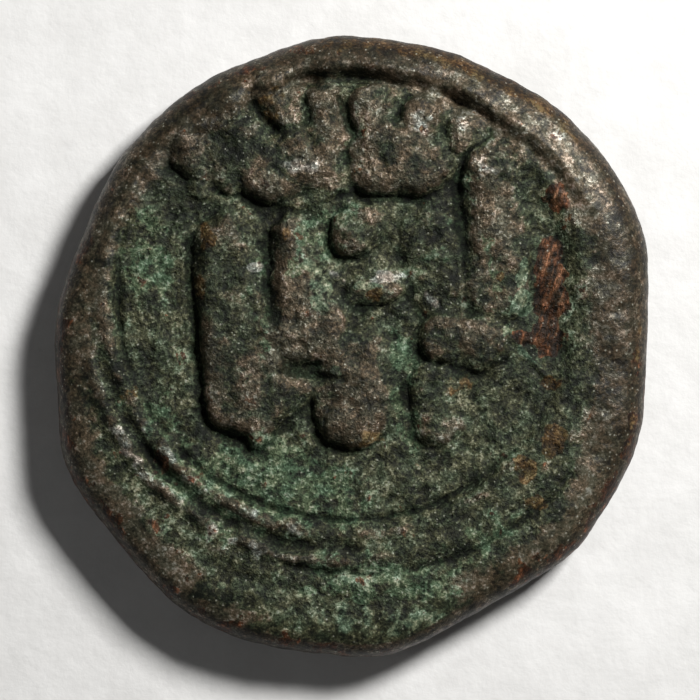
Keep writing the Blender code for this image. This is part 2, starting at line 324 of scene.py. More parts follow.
@dataclass(frozen=True)
class Stroke:
    """A raised stroke with round ends, tapered between its radii. Lengths are shares of the circle."""

    first: Pair
    last: Pair
    first_radius: float
    last_radius: float
    height: float

    def depth_inside(self, place: Array) -> Array:
        """How far inside the stroke a place is: its radius at the nearest point, less the distance to that.

        Args:
            place: (..., 2) places from the circle's centre, as shares of its radius.

        Returns:
            (...) shares, below 0 outside the stroke.
        """
        first, last = np.array(self.first), np.array(self.last)
        along = last - first
        share = np.clip(((place - first) @ along) / max(along @ along, 1e-12), 0.0, 1.0)
        away = np.linalg.norm(place - first - share[..., None] * along, axis=-1)
        return self.first_radius + (self.last_radius - self.first_radius) * share - away


def strokes_from(**rows: tuple[float, ...]) -> tuple[Stroke, ...]:
    """Strokes from named rows: the x and y of both ends, both radii and the height."""
    return tuple(Stroke(row[:2], row[2:4], *row[4:]) for row in rows.values())


@dataclass
class Inscription:
    """The worn raised strokes that stand in for the legend. They are not letters.

    The metal slid a little towards the upper right under the dies, so each stroke has a steep wall on its
    lower left and trails off on the other side.
    """

    scale: float = 4.74
    full_height: float = 0.275
    steep_flank: float = 0.20
    gentle_flank: float = 0.60
    dome_share: float = 0.45
    dome_width: float = 0.95
    flank_size: float = 1.7
    flank_apart: float = 70.0
    flank_span: Pair = (-0.35, 0.55)
    blend: float = 3.5
    warp: float = 0.13
    warp_size: float = 0.85
    warp_apart: float = 9.0
    lump: float = 0.26
    lump_size: float = 0.8
    slide_direction: float = 35.0
    slide_length: float = 0.50
    slide_steps: int = 5
    trench_depth: float = 0.10
    trench_width: float = 0.22
    # How far up the slide the painted shadow at the strokes' lower-left feet reaches.
    lee_width: float = 0.36
    strokes: tuple[Stroke, ...] = strokes_from(
        left_knob=(-0.651, 0.517, -0.642, 0.491, 0.053, 0.061, 0.45),
        left_lump=(-0.62, 0.649, -0.479, 0.631, 0.145, 0.167, 0.55),
        left_shelf=(-0.497, 0.798, -0.199, 0.579, 0.114, 0.193, 0.4),
        first_prong=(-0.33, 0.912, -0.269, 0.798, 0.083, 0.075, 0.6),
        middle_lump=(-0.339, 0.57, -0.172, 0.609, 0.149, 0.145, 0.9),
        second_prong=(-0.128, 0.886, -0.054, 0.702, 0.061, 0.079, 0.75),
        top_saddle=(-0.12, 0.535, 0.091, 0.561, 0.075, 0.075, 0.45),
        third_prong=(0.082, 0.86, 0.144, 0.693, 0.075, 0.088, 0.8),
        cup_lump=(0.157, 0.605, 0.297, 0.592, 0.158, 0.145, 0.9),
        fourth_prong=(0.332, 0.816, 0.28, 0.684, 0.083, 0.079, 0.8),
        last_prong=(0.517, 0.763, 0.495, 0.688, 0.07, 0.061, 0.55),
        left_club=(-0.552, 0.245, -0.428, -0.413, 0.12, 0.196, 1),
        club_heel=(-0.405, -0.5, -0.397, -0.625, 0.12, 0.03, 0.85),
        club_toe=(-0.365, -0.431, -0.128, -0.396, 0.105, 0.053, 0.6),
        pear=(-0.269, 0.293, -0.172, -0.123, 0.061, 0.176, 0.9),
        middle_egg=(0.021, -0.299, 0.021, -0.492, 0.149, 0.162, 0.95),
        pellet=(0.038, 0.298, 0.038, 0.298, 0.105, 0.105, 0.8),
        lens=(0.047, 0.039, 0.17, 0.039, 0.057, 0.061, 0.6),
        right_shelf=(0.345, 0.298, 0.442, 0.035, 0.114, 0.149, 0.35),
        right_bar=(0.635, 0.544, 0.666, 0.035, 0.132, 0.136, 0.72),
        right_egg=(0.433, -0.167, 0.6, -0.194, 0.11, 0.123, 0.85),
        low_pellet=(0.389, -0.369, 0.398, -0.545, 0.105, 0.097, 0.55),
    )

    def struck(self, place: Array, flank: Array) -> Array:
        """Share of the full height of the strokes alone, run together.

        Each stroke is a quarter round up from its edge, and a broader one makes its top a dome.

        Args:
            place: (..., 2) places from the circles' centre in millimetres.
            flank: (...) width of the quarter round in millimetres.

        Returns:
            (...) shares, a power sum over the strokes.
        """
        total = np.zeros(place.shape[:-1])
        for stroke in self.strokes:
            inside = self.scale * stroke.depth_inside(place / self.scale)
            edge, dome = quarter_round(inside / flank), quarter_round(inside / self.dome_width)
            total += (stroke.height * (edge + self.dome_share * (dome - edge))) ** self.blend
        return total ** (1.0 / self.blend)

    def slide_way(self) -> Array:
        """The direction in which the metal slid, as a unit vector."""
        turn = math.radians(self.slide_direction)
        return np.array([math.cos(turn), math.sin(turn)])

    def wandered(self, place: Array, noise: Noise) -> Array:
        """The places shifted a little by noise, so that the strokes' edges wander."""
        return place + self.warp * noise.shift(lifted(place), self.warp_apart, self.warp_size)

    def lee_shadow_share(self, place: Array, noise: Noise) -> Array:
        """How much of the strokes' height stands just up the slide: the strokes' lower-left feet, which the
        patina darkens as painted shadow.

        Args:
            place: (..., 2) places from the circles' centre in millimetres.
            noise: The noise of the relief.

        Returns:
            (...) shares from 0 to 1.
        """
        place = self.wandered(place, noise)
        flank = np.full(place.shape[:-1], self.steep_flank)
        ahead = self.struck(place + self.slide_way() * self.lee_width, flank)
        return np.clip(ahead - self.struck(place, flank), 0.0, 1.0)

    def relief(self, place: Array, noise: Noise) -> Array:
        """Height of the strokes with their trails and trenches.

        A trail is the power sum of shifted copies that fall off with the shift. A trench runs along the foot
        of each steep wall, where the strokes' copy shifted the other way stands over the face.

        Args:
            place: (..., 2) places from the circles' centre in millimetres.
            noise: What makes the strokes' edges wander and their tops uneven.

        Returns:
            (...) heights in millimetres.
        """
        points = lifted(place)
        place = self.wandered(place, noise)
        way = self.slide_way()
        blunt = noise.fractal(points + self.flank_apart, self.flank_size, octaves=2)
        worn_down = smooth_step(*self.flank_span, blunt)
        flank = self.steep_flank + (self.gentle_flank - self.steep_flank) * worn_down
        shares = np.linspace(0.0, 1.0, self.slide_steps, endpoint=False)
        copies = [
            (1.0 - share) * self.struck(place - way * (share * self.slide_length), flank) for share in shares
        ]
        trail = sum(copy**self.blend for copy in copies) ** (1.0 / self.blend)
        uneven = 1.0 + self.lump * noise.fractal(points, self.lump_size, octaves=3)
        ahead = np.clip(self.struck(place + way * self.trench_width, flank) - trail, 0.0, 1.0)
        return self.full_height * uneven * np.minimum(trail, 1.0) - self.trench_depth * ahead


@dataclass(frozen=True)
class Scar:
    """A line cut into the face or pushed up from it: its ends, width and height in millimetres."""

    first: Pair
    last: Pair
    width: float
    height: float

    def relief(self, place: Array) -> Array:
        """Its height at each place: a bell across the line from end to end."""
        line = Stroke(self.first, self.last, 0.0, 0.0, 1.0)
        return self.height * bell(line.depth_inside(place), self.width)


@dataclass(frozen=True)
class Patch:
    """A place on the face where the patina differs: an ellipse, turned by an angle in degrees."""

    centre: Pair
    half_size: Pair
    turn: float = 0.0
    strength: float = 1.0

    def share(self, place: Array) -> Array:
        """How much of the patch is at each place: its strength inside, fading out across its edge."""
        angle = math.radians(self.turn)
        offset = place - np.array(self.centre)
        across = offset[..., 0] * math.cos(angle) + offset[..., 1] * math.sin(angle)
        up = offset[..., 1] * math.cos(angle) - offset[..., 0] * math.sin(angle)
        away = np.hypot(across / self.half_size[0], up / self.half_size[1])
        return self.strength * (1.0 - smooth_step(*PATCH_FADE, away))


def patches_from(*rows: tuple[float, ...]) -> tuple[Patch, ...]:
    """Patches from rows: the centre's x and y, both half sizes, the strength and the angle where turned."""
    return tuple(Patch(row[:2], row[2:4], *row[5:], strength=row[4]) for row in rows)


def strongest(parts: "tuple[Arc | Patch, ...]", where: Array) -> Array:
    """The strongest of some arcs at each direction, or of some patches at each place."""
    return np.max([part.share(where) for part in parts], axis=0)


@dataclass
class Shoulder:
    """The worn roll of a face into the edge, along a superellipse."""

    width: float
    power: float = 2.4

    def share(self, inset: Array) -> Array:
        """Share of the face's height left at an inset: (1 - o^p)^(1/p), o the share still to go."""
        outside = 1.0 - np.clip(inset / self.width, 0.0, 1.0)
        return (1.0 - outside**self.power) ** (1.0 / self.power)


@dataclass
class Obverse:
    """The struck face that shows: field, border, line circles, strokes and the marks of age."""

    pole: Pair = (-0.14, 0.97)
    field_height: float = 1.60
    edge_height: float = 0.74
    most_height: float = 1.895
    cap_softness: float = 0.012
    shoulder: Shoulder = field(default_factory=lambda: Shoulder(1.05, 2.7))
    rim_inner: float = 4.78
    rim_rise: float = 0.17
    rim_rise_width: float = 0.26
    rim_rise_direction: float = 55.0
    rim_rise_least: float = 0.3
    wave: float = 0.034
    wave_size: float = 1.9
    wave_apart: float = 5.0
    crust: float = 0.125
    crust_size: float = 0.60
    crust_apart: float = 50.0
    calm_rim: float = 0.5
    pit: float = 0.05
    pit_size: float = 0.42
    pit_apart: float = 90.0
    pit_span: Pair = (0.42, 0.75)
    inscription: Inscription = field(default_factory=Inscription)
    circles: tuple[LineCircle, ...] = (
        LineCircle(
            4.82,
            (0.05, 0.23),
            (Arc(182.0, 22.0, 0.7), Arc(275.0, 44.0, 1.0), Arc(222.0, 20.0, 0.4), Arc(150.0, 40.0, 0.3)),
            (Arc(226.0, 46.0, 1.0), Arc(290.0, 40.0, 0.35), Arc(180.0, 30.0, 0.4)),
        ),
        LineCircle(
            5.20,
            (0.0, 0.0),
            (Arc(222.0, 8.0, 1.2), Arc(241.0, 4.0, 0.7), Arc(256.0, 7.0, 0.8), Arc(274.0, 5.0, 0.7)),
            (Arc(235.0, 46.0, 0.9), Arc(300.0, 40.0, 0.35)),
            groove_depth=0.08,
            groove_width=0.13,
        ),
        LineCircle(
            5.67,
            (0.31, -0.04),
            (Arc(258.0, 16.0, 0.7), Arc(303.0, 26.0, 0.8)),
            (Arc(260.0, 30.0, 0.4),),
        ),
        LineCircle(
            5.70,
            (0.0, -1.08),
            (Arc(80.0, 28.0, 1.0), Arc(46.0, 14.0, 0.4)),
            (Arc(66.0, 40.0, 0.5),),
            groove_depth=0.12,
            groove_width=0.12,
            break_size=0.9,
            break_depth=1.9,
        ),
    )
    scars: tuple[Scar, ...] = (
        Scar((-2.12, 5.02), (-1.60, 4.52), 0.13, -0.17),
        Scar((-0.98, 4.54), (-0.71, 3.88), 0.12, -0.07),
        Scar((-0.27, 5.15), (-0.06, 4.55), 0.11, -0.13),
        Scar((1.83, 3.78), (2.29, 2.94), 0.22, -0.09),
        Scar((-1.50, -0.53), (-0.20, -0.70), 0.08, -0.10),
        Scar((-4.87, 1.76), (-4.83, 0.34), 0.08, -0.07),
        Scar((3.35, 0.18), (4.04, -0.61), 0.06, 0.08),
        Scar((3.66, 2.30), (3.62, 1.25), 0.08, 0.06),
        Scar((3.64, 1.22), (3.08, -0.05), 0.07, 0.06),
        Scar((3.08, -0.05), (2.43, -0.78), 0.06, 0.05),
    )
    flake: Patch = Patch((4.10, 1.20), (0.62, 1.75))
    flake_depth: float = 0.08
    noise: Noise = field(default_factory=lambda: Noise(seed=5))

    def height(self, place: Array, inset: Array) -> Array:
        """Height of the face above the plane that the coin rests on.

        Field, waves, raised border, circles, strokes and hollows are added up, and the shoulder takes the sum
        down to the edge's widest loop. A soft minimum, minus k times the logarithm of the sum of e^(-h/k)
        over both heights, keeps it under most_height.

        Args:
            place: (..., 2) places from the centre of the outline's box.
            inset: (...) distances inside the outline.

        Returns:
            (...) heights in millimetres.
        """
        own = place - np.array(self.pole)
        distance = np.linalg.norm(own, axis=-1)
        width = self.rim_rise_width
        rise = smooth_step(self.rim_inner - width, self.rim_inner + width, distance)
        lean = leaning(direction_of(own), self.rim_rise_direction, self.rim_rise_least)
        face = self.field_height + self.rim_rise * rise * lean
        face = face + sum(circle.relief(own, self.noise) for circle in self.circles)
        face = face + self.inscription.relief(own, self.noise)
        face = face + sum(scar.relief(place) for scar in self.scars)
        face = face - self.flake_depth * self.flake.share(place)
        face = face + self.weathering(place) * (1.0 - self.calm_rim * rise)
        face = self.edge_height + (face - self.edge_height) * self.shoulder.share(inset)
        soft = self.cap_softness
        return -soft * np.logaddexp(-face / soft, -self.most_height / soft)

    def weathering(self, place: Array) -> Array:
        """Uneven surface: long waves, crust of a finer grain, and pits where one more noise dips low."""
        points = lifted(place)
        waves = self.wave * self.noise.fractal(points + self.wave_apart, self.wave_size, octaves=2)
        crust = self.crust * self.noise.fractal(points + self.crust_apart, self.crust_size, fall=ROUGH_FALL)
        dips = self.noise.fractal(points + self.pit_apart, self.pit_size, octaves=2)
        dips = smooth_step(*self.pit_span, dips)
        return waves + crust - self.pit * dips


@dataclass
class Reverse:
    """The hidden face, plainer: a line circle and a row of worn strokes, rubbed flat where the coin rests."""

    field_height: float = 0.10
    edge_height: float = 0.74
    pole: Pair = (-0.14, 0.97)
    circle_radius: float = 4.55
    line_width: float = 0.62
    line_top: float = 0.22
    flank: float = 0.22
    shoulder: Shoulder = field(default_factory=lambda: Shoulder(0.80))
    rough: float = 0.02
    rough_size: float = 0.8
    strokes: tuple[Stroke, ...] = strokes_from(
        left=(-0.47, 0.3, -0.43, -0.26, 0.15, 0.15, 1.0),
        middle=(-0.01, 0.4, 0.02, -0.33, 0.18, 0.18, 1.0),
        right=(0.45, 0.33, 0.47, -0.2, 0.15, 0.15, 1.0),
        knob=(0.24, -0.6, 0.24, -0.6, 0.12, 0.12, 1.0),
    )
    noise: Noise = field(default_factory=lambda: Noise(seed=23))

    def height(self, place: Array, inset: Array) -> Array:
        """Height of the lower face: the field, with its worn relief hanging down to the plane at 0.

        Args:
            place: (..., 2) places from the centre of the outline's box.
            inset: (...) distances inside the outline.

        Returns:
            (...) heights in millimetres, never below 0.
        """
        distance = np.linalg.norm(place - np.array(self.pole), axis=-1)
        side = (self.line_width - self.line_top) / 2.0
        relief = 1.0 - smooth_step(0.0, side, np.abs(distance - self.circle_radius) - self.line_top / 2.0)
        for stroke in self.strokes:
            inside = stroke.depth_inside(place / self.circle_radius) * self.circle_radius
            relief = np.maximum(relief, smooth_step(0.0, self.flank, inside))
        rough = self.rough * (1.0 + self.noise.fractal(lifted(place), self.rough_size, fall=ROUGH_FALL))
        face = self.field_height * (1.0 - relief) + rough * (1.0 - relief * relief)
        return self.edge_height - (self.edge_height - face) * self.shoulder.share(inset)


@dataclass
class RoundGrid:
    """A square grid drawn round, so that nested squares become circles about a pole."""

    rings: int

    def polar(self) -> tuple[Array, Array]:
        """Share of the radius and direction in radians of each grid point.

        On the square's left and right quarters the share is |a| and the direction pi/4 times b/a. On the
        others the share is |b| and the direction pi/2 less pi/4 times a/b.

        Returns:
            Two arrays of (2 rings + 1, 2 rings + 1), with rows along b.
        """
        line = np.arange(-self.rings, self.rings + 1) / self.rings
        a, b = np.meshgrid(line, line)
        wide = np.abs(a) > np.abs(b)
        long_side = np.where(wide, a, np.where(b == 0.0, 1.0, b))
        ratio = np.where(wide, b, a) / long_side
        angle = np.where(wide, ratio, 2.0 - ratio) * math.pi / 4.0 + np.where(long_side < 0.0, math.pi, 0.0)
        return np.maximum(np.abs(a), np.abs(b)), angle

    def quads(self) -> Array:
        """The grid's faces as rows of four point numbers, counter-clockwise from above."""
        side = 2 * self.rings + 1
        number = np.arange(side * side).reshape(side, side)
        corners = (number[:-1, :-1], number[:-1, 1:], number[1:, 1:], number[1:, :-1])
        return np.stack([corner.ravel() for corner in corners], axis=1)

    def border(self) -> Array:
        """The point numbers round the border, counter-clockwise from the corner at a = b = -1."""
        side = 2 * self.rings + 1
        number = np.arange(side * side).reshape(side, side)
        return np.concatenate([number[0, :-1], number[:-1, -1], number[-1, :0:-1], number[:0:-1, 0]])


def softened(values: Array, passes: int) -> Array:
    """A grid's values averaged with their neighbours, by weights 1, 2, 1 along each axis, in some passes."""
    for _ in range(passes):
        for axis in (0, 1):
            padded = np.concatenate([values.take([0], axis), values, values.take([-1], axis)], axis)
            count = values.shape[axis]
            before, after = padded.take(range(count), axis), padded.take(range(2, count + 2), axis)
            values = (before + 2.0 * values + after) / 4.0
    return values


@dataclass
class CoinMesh:
    """The coin's surface and the patina's guide values on it.

    The patches say where each look of the patina lies, and where shade and highlights are painted. The wear
    weights are those of the border, the strokes, the ridges and what stands proud.
    """

    outline: Outline = field(default_factory=Outline)
    obverse: Obverse = field(default_factory=Obverse)
    reverse: Reverse = field(default_factory=Reverse)
    obverse_rings: int = 128
    reverse_rings: int = 64
    edge_band: float = 0.30
    obverse_edge_rings: int = 8
    reverse_edge_rings: int = 6
    hollow_passes: int = 24
    hollow_depth: float = 0.065
    edge_rough: float = 0.03
    edge_rough_size: float = 0.5
    edge_rough_least: float = -0.4
    crusts: tuple[Patch, ...] = patches_from(
        (-4.35, 1.9, 0.75, 1.3, 0.8, 10), (-3.4, -2.6, 0.7, 2.4, 0.9, 38), (0.3, -4.85, 2.1, 0.6, 1, -6),
        (-1.4, -2.9, 2, 1, 1.05, -20), (2.6, -4.1, 1.5, 0.5, 0.7, 28), (1.1, -0.9, 0.35, 1.3, 1, 5),
        (3.1, 1.2, 0.3, 1.5, 0.8, 12), (-0.9, 2, 0.5, 1, 0.7, -30), (-1.9, 0.8, 0.35, 1.3, 0.7),
        (2.1, 3, 0.4, 0.8, 0.8, -25), (1.6, 1.8, 0.6, 0.5, 0.6), (-0.2, 2.9, 0.5, 0.4, 0.6),
    )
    pales: tuple[Patch, ...] = patches_from(
        (-0.72, 1.3, 0.26, 0.75, 1, 18), (0.4, 1.22, 0.55, 0.28, 0.8, -12), (1.12, -0.85, 0.18, 0.8, 0.7),
        # The pale patch at (-2.08, 1.58) is a painted highlight spot; the other pale patches are pale green
        # patina.
        (-2.08, 1.58, 0.16, 0.09, 1.4, 10), (0.35, -4.8, 1.1, 0.28, 0.7, -8),
        (-2.55, -3.1, 0.8, 0.16, 0.8, -38), (1.55, 2.35, 0.45, 0.25, 0.5, 40),
        (3.36, 0.58, 0.1, 0.75, 0.9, -24), (2.75, -0.42, 0.08, 0.5, 0.8, -42),
        (3.7, -0.22, 0.08, 0.5, 1.1, 41), (3.56, 1.6, 0.14, 0.5, 1.4, -6),
        (3.58, 0.86, 0.22, 0.26, 1.5, 20), (4.52, 0.95, 0.08, 0.6, 1), (0.4, -5.75, 2.3, 0.4, 0.8),
        (-0.34, -0.46, 0.18, 0.16, 1.2), (-3.87, -3.86, 0.24, 0.14, 1.3, 20),
        (-2.79, -5.02, 0.1, 0.08, 1.4), (-4.2, -1.9, 0.12, 0.4, 0.9, 30),
    )
    # Painted highlights: bright spots on the strokes and the rim where they catch the key light, over partly
    # metallic, glossy metal.
    painted_highlights: tuple[Patch, ...] = patches_from(
        (-2.06, 1.6, 0.25, 0.15, 1.4, 10), (0.75, 1.4, 0.4, 0.17, 0.72, -10),
        (1.72, 0.92, 0.15, 0.3, 0.8, 30), (-0.35, 1.5, 0.14, 0.4, 0.6, 50), (1.3, 4.75, 0.45, 0.35, 0.48),
        (2.85, 3.8, 0.5, 0.3, 0.38, -30), (4.68, 3.98, 0.15, 1.15, 0.46, 40), (-1.1, 3.75, 0.5, 0.24, 0.62),
        (-0.36, -0.46, 0.16, 0.14, 0.7), (2.5, 4.6, 0.6, 0.2, 0.36, -35), (0.8, 4.3, 0.3, 0.3, 0.45),
    )
    # Darker patches: partly darker patina, partly painted shade on the upper-left rim, which faces away from
    # the key light, and in the shadows beside the strokes.
    darks_and_painted_shade: tuple[Patch, ...] = patches_from(
        (-3.5, 4.2, 1.6, 1.2, 0.95, 45), (0.3, 6, 2.3, 0.5, 1), (5.6, 0.2, 0.8, 3.2, 1),
        (-2.45, 0.6, 0.8, 2.2, 0.55, 8), (1.9, 2.9, 0.45, 1.2, 0.6, -5), (-0.2, 2.35, 0.32, 0.55, 0.6),
        (2, 1, 0.35, 0.55, 0.45), (0.05, -1.4, 0.9, 0.9, 0.35), (1.65, 2.1, 0.5, 0.6, 0.55),
        (2.15, 1.3, 0.45, 0.45, 0.7), (-1.62, 1.4, 0.16, 1.6, 0.9, -4), (-4.05, -2.45, 0.26, 0.44, 0.8, 42),
    )
    rusts: tuple[Patch, ...] = patches_from(
        (4.16, 1.7, 0.33, 0.68, 1, -10), (4.13, 0.95, 0.37, 0.7, 1), (4.08, 0.2, 0.39, 0.54, 1),
        (3.6, 0.16, 0.27, 0.22, 0.9), (-4.05, -2.45, 0.2, 0.46, 0.34, 42), (4.25, 3.05, 0.26, 0.34, 0.8),
        (-3.3, -2.55, 0.22, 0.5, 0.22, 35), (-4, -3.9, 0.3, 0.6, 0.25, 45),
    )
    ochres: tuple[Patch, ...] = patches_from(
        (4.18, -1.95, 0.34, 0.4, 1.2, -30), (4.1, -0.74, 0.26, 0.18, 1.1, 10),
        (3.12, 1.45, 0.14, 0.14, 0.9), (3.62, -2.52, 0.24, 0.28, 1.2), (3.8, -3.2, 0.28, 0.22, 0.9),
        (-3.05, 2.3, 0.2, 0.44, 1), (-3.15, 1.2, 0.18, 0.34, 0.9), (-1.7, 5.05, 0.48, 0.42, 0.7),
        (-1.3, 2.15, 0.18, 0.38, 0.8), (-4.75, -0.8, 0.28, 0.44, 0.6, 20), (0.5, 1.07, 0.32, 0.16, 0.85),
        (0.25, -1.92, 0.55, 0.16, 0.6), (2.35, -0.75, 0.4, 0.35, 0.55),
    )
    dulls: tuple[Patch, ...] = patches_from(
        (-2.5, 1.2, 0.75, 1.6, 0.75, 5), (-2.1, -1, 0.8, 0.9, 0.45), (-3.1, 3.4, 0.8, 0.8, 0.35),
        (-1.2, 3.9, 1.4, 0.9, 0.18), (1.3, 4.2, 1.2, 0.8, 0.2), (1.9, -0.9, 0.5, 0.9, 0.5),
        (0.1, 2.3, 0.5, 0.5, 0.6), (0.2, -5.55, 2.8, 0.9, 0.85), (-4.1, -3.2, 0.6, 1.6, 0.35, 45),
    )
    side_ochres: tuple[Arc, ...] = (Arc(66.0, 36.0, 0.95), Arc(345.0, 14.0, 0.5))
    side_rusts: tuple[Arc, ...] = (
        Arc(195.0, 45.0, 0.36),
        Arc(255.0, 25.0, 0.36),
        Arc(325.0, 30.0, 0.46),
        Arc(100.0, 40.0, 0.32),
    )
    side_band: Pair = (0.18, 0.50)
    side_shade_direction: float = 45.0
    side_shade_least: float = 0.30
    rim_spread: Arc = Arc(20.0, 62.0, 0.38)
    # Painted highlights along the line circles' ridges, in these directions.
    ridge_painted_highlights: tuple[Arc, ...] = (Arc(232.0, 40.0, 0.48),)
    ridge_gain: float = 9.0
    # Strength of the painted shadow at the strokes' lower-left feet.
    lee_painted_shadow: float = 0.60
    wear_weights: tuple[float, ...] = (0.85, 0.75, 4.0, 0.30)
    rubbed_heights: Pair = (0.015, 0.085)
    rubbed_wear: float = 0.75
    rim_inner: float = 1.25
    rim_outer: float = 0.45
    patch_warp: float = 0.22
    patch_warp_size: float = 0.7
    warp_apart: float = 40.0
    noise: Noise = field(default_factory=lambda: Noise(seed=31))

    @property
    def pole(self) -> Array:
        """The centre of the struck circles, which both faces' grids are drawn round."""
        return np.array(self.obverse.pole)

    def side(self, face: Face) -> "Obverse | Reverse":
        """The height field of a face."""
        return self.obverse if face is Face.OBVERSE else self.reverse

    def raised(self, face: Face, angle: Array, distance: Array, inset: Array) -> Array:
        """Points of a face.

        Args:
            face: Which face.
            angle: Directions from the pole, in radians.
            distance: Distances from the pole.
            inset: Distances inside the outline.

        Returns:
            (..., 3) points in millimetres.
        """
        place = self.pole + distance[..., None] * way_of(angle)
        return np.concatenate([place, self.side(face).height(place, inset)[..., None]], axis=-1)

    def sheet(self, face: Face) -> tuple[Array, RoundGrid]:
        """One face as a (side, side, 3) grid of points, from the pole out to edge_band inside the outline.

        Args:
            face: Which face.

        Returns:
            The points in millimetres, and the grid that they lie on.
        """
        grid = RoundGrid(self.obverse_rings if face is Face.OBVERSE else self.reverse_rings)
        share, angle = grid.polar()
        reach = self.outline.reach(self.pole, angle)
        distance = share * (reach - self.edge_band)
        return self.raised(face, angle, distance, reach - distance), grid

    def edge_rings(self, face: Face, angle: Array, count: int) -> Array:
        """Rings down one face's shoulder, from just outside its sheet to the widest loop of the edge.

        The superellipse is walked at an even pace of its own angle f: the outside share is cos(f)^(2/p).

        Args:
            face: Which face.
            angle: (n,) directions of the ring points from the pole, in radians.
            count: Number of rings.

        Returns:
            (count, n, 3) points. The last ring is the widest loop.
        """
        shoulder = self.side(face).shoulder
        start = math.acos((1.0 - self.edge_band / shoulder.width) ** (shoulder.power / 2.0))
        walk = np.linspace(start, 0.0, count + 1)[1:]
        inset = shoulder.width * (1.0 - np.cos(walk) ** (2.0 / shoulder.power))[:, None]
        distance = self.outline.reach(self.pole, angle) - inset
        points = self.raised(face, angle, distance, np.broadcast_to(inset, distance.shape))
        rough = self.noise.fractal(points, self.edge_rough_size, fall=ROUGH_FALL)
        cut = self.edge_rough * np.maximum(rough, self.edge_rough_least) * (1.0 - inset / self.edge_band)
        points[..., :2] -= cut[..., None] * way_of(angle)
        return points

    def build(self) -> bpy.types.Object:
        """The coin's object in metres: two sheets, the edge rings between them, and the guide attributes."""
        top, top_grid = self.sheet(Face.OBVERSE)
        low, low_grid = self.sheet(Face.REVERSE)
        loop = top_grid.border()
        angle = top_grid.polar()[1].ravel()[loop]
        upper = self.edge_rings(Face.OBVERSE, angle, self.obverse_edge_rings)
        lower = self.edge_rings(Face.REVERSE, angle, self.reverse_edge_rings)[-2::-1]
        rings = np.concatenate([upper, lower]).reshape(-1, 3)
        first_ring = top.shape[0] * top.shape[1]
        first_low = first_ring + len(rings)
        loops = np.concatenate([loop[None], np.arange(first_ring, first_low).reshape(-1, len(loop))])
        inner, outer = loops[:-1], loops[1:]
        band = np.stack([inner, outer, np.roll(outer, -1, axis=1), np.roll(inner, -1, axis=1)], axis=-1)
        low_loop = first_low + low_grid.border()
        even, odd = loops[-1].reshape(-1, 2).T
        next_low = np.roll(low_loop, -1)
        corners = ((low_loop, odd, even), (low_loop, next_low, odd), (next_low, np.roll(even, -1), odd))
        fans = np.concatenate([np.stack(trio, axis=1) for trio in corners])
        quads = np.concatenate([top_grid.quads(), band.reshape(-1, 4), first_low + low_grid.quads()[:, ::-1]])
        points = np.concatenate([top.reshape(-1, 3), rings, low.reshape(-1, 3)])
        mesh = self.mesh_of(points * MM, quads, fans)
        self.add_guides(mesh, points, top)
        return linked("struck_coin", mesh)

    @staticmethod
    def mesh_of(points: Array, quads: Array, triangles: Array) -> bpy.types.Mesh:
        """A mesh shaded smooth, put in as whole arrays.

        Args:
            points: (n, 3) points in metres.
            quads: (m, 4) point numbers.
            triangles: (k, 3) point numbers.

        Returns:
            The mesh.
        """
        mesh = bpy.data.meshes.new("struck_coin")
        mesh.vertices.add(len(points))
        mesh.vertices.foreach_set("co", points.astype(np.float32).ravel())
        corners = np.concatenate([quads.ravel(), triangles.ravel()]).astype(np.int32)
        mesh.loops.add(len(corners))
        mesh.loops.foreach_set("vertex_index", corners)
        starts = np.concatenate([np.arange(0, quads.size, 4), quads.size + np.arange(0, triangles.size, 3)])
        mesh.polygons.add(len(starts))
        mesh.polygons.foreach_set("loop_start", starts.astype(np.int32))
        mesh.update(calc_edges=True)
        mesh.validate()
        mesh.shade_smooth()
        return mesh

    def add_guides(self, mesh: bpy.types.Mesh, points: Array, top: Array) -> None:
        """Writes the attributes that the patina reads: wear, hollows with painted shadow at the strokes'
        lower-left feet, and where each colour, painted shade and painted highlight lies.

        Wear grows on the rim, strokes and ridges, on what stands proud of its surroundings, and on the rubbed
        reverse.

        Args:
            mesh: The coin's mesh.
            points: (n, 3) all points in millimetres.
            top: (side, side, 3) the obverse's points, which come first in points.
        """
        height = top[..., 2]
        proud = np.clip((height - softened(height, self.hollow_passes)) / self.hollow_depth, -1.0, 1.0)
        proud = np.concatenate([proud.ravel(), np.zeros(len(points) - height.size)])
        is_top = np.arange(len(points)) < height.size
        place, noise, legend = points[:, :2], self.obverse.noise, self.obverse.inscription
        own = place - self.pole
        direction = direction_of(own)
        inset = self.outline.reach(self.pole, np.arctan2(own[:, 1], own[:, 0])) - np.linalg.norm(own, axis=1)
        rim = 1.0 - smooth_step(self.rim_outer, self.rim_inner, inset - self.rim_spread.share(direction))
        side = 1.0 - smooth_step(*self.side_band, inset)
        proud = proud * (1.0 - rim)
        raised = np.maximum(legend.relief(own, noise) / legend.full_height, 0.0) * is_top
        ridges = sum(np.maximum(circle.relief(own, noise), 0.0) for circle in self.obverse.circles) * is_top
        parts = (rim, raised, ridges, np.maximum(proud, 0.0))
        worn = sum(weight * part for weight, part in zip(self.wear_weights, parts))
        rubbed = 1.0 - smooth_step(*self.rubbed_heights, points[:, 2])
        worn = np.clip(worn + self.rubbed_wear * rubbed * (1.0 - rim), 0.0, 1.0)
        self.put(mesh, "rim", rim)
        self.put(mesh, "side", side * leaning(direction, self.side_shade_direction, self.side_shade_least))
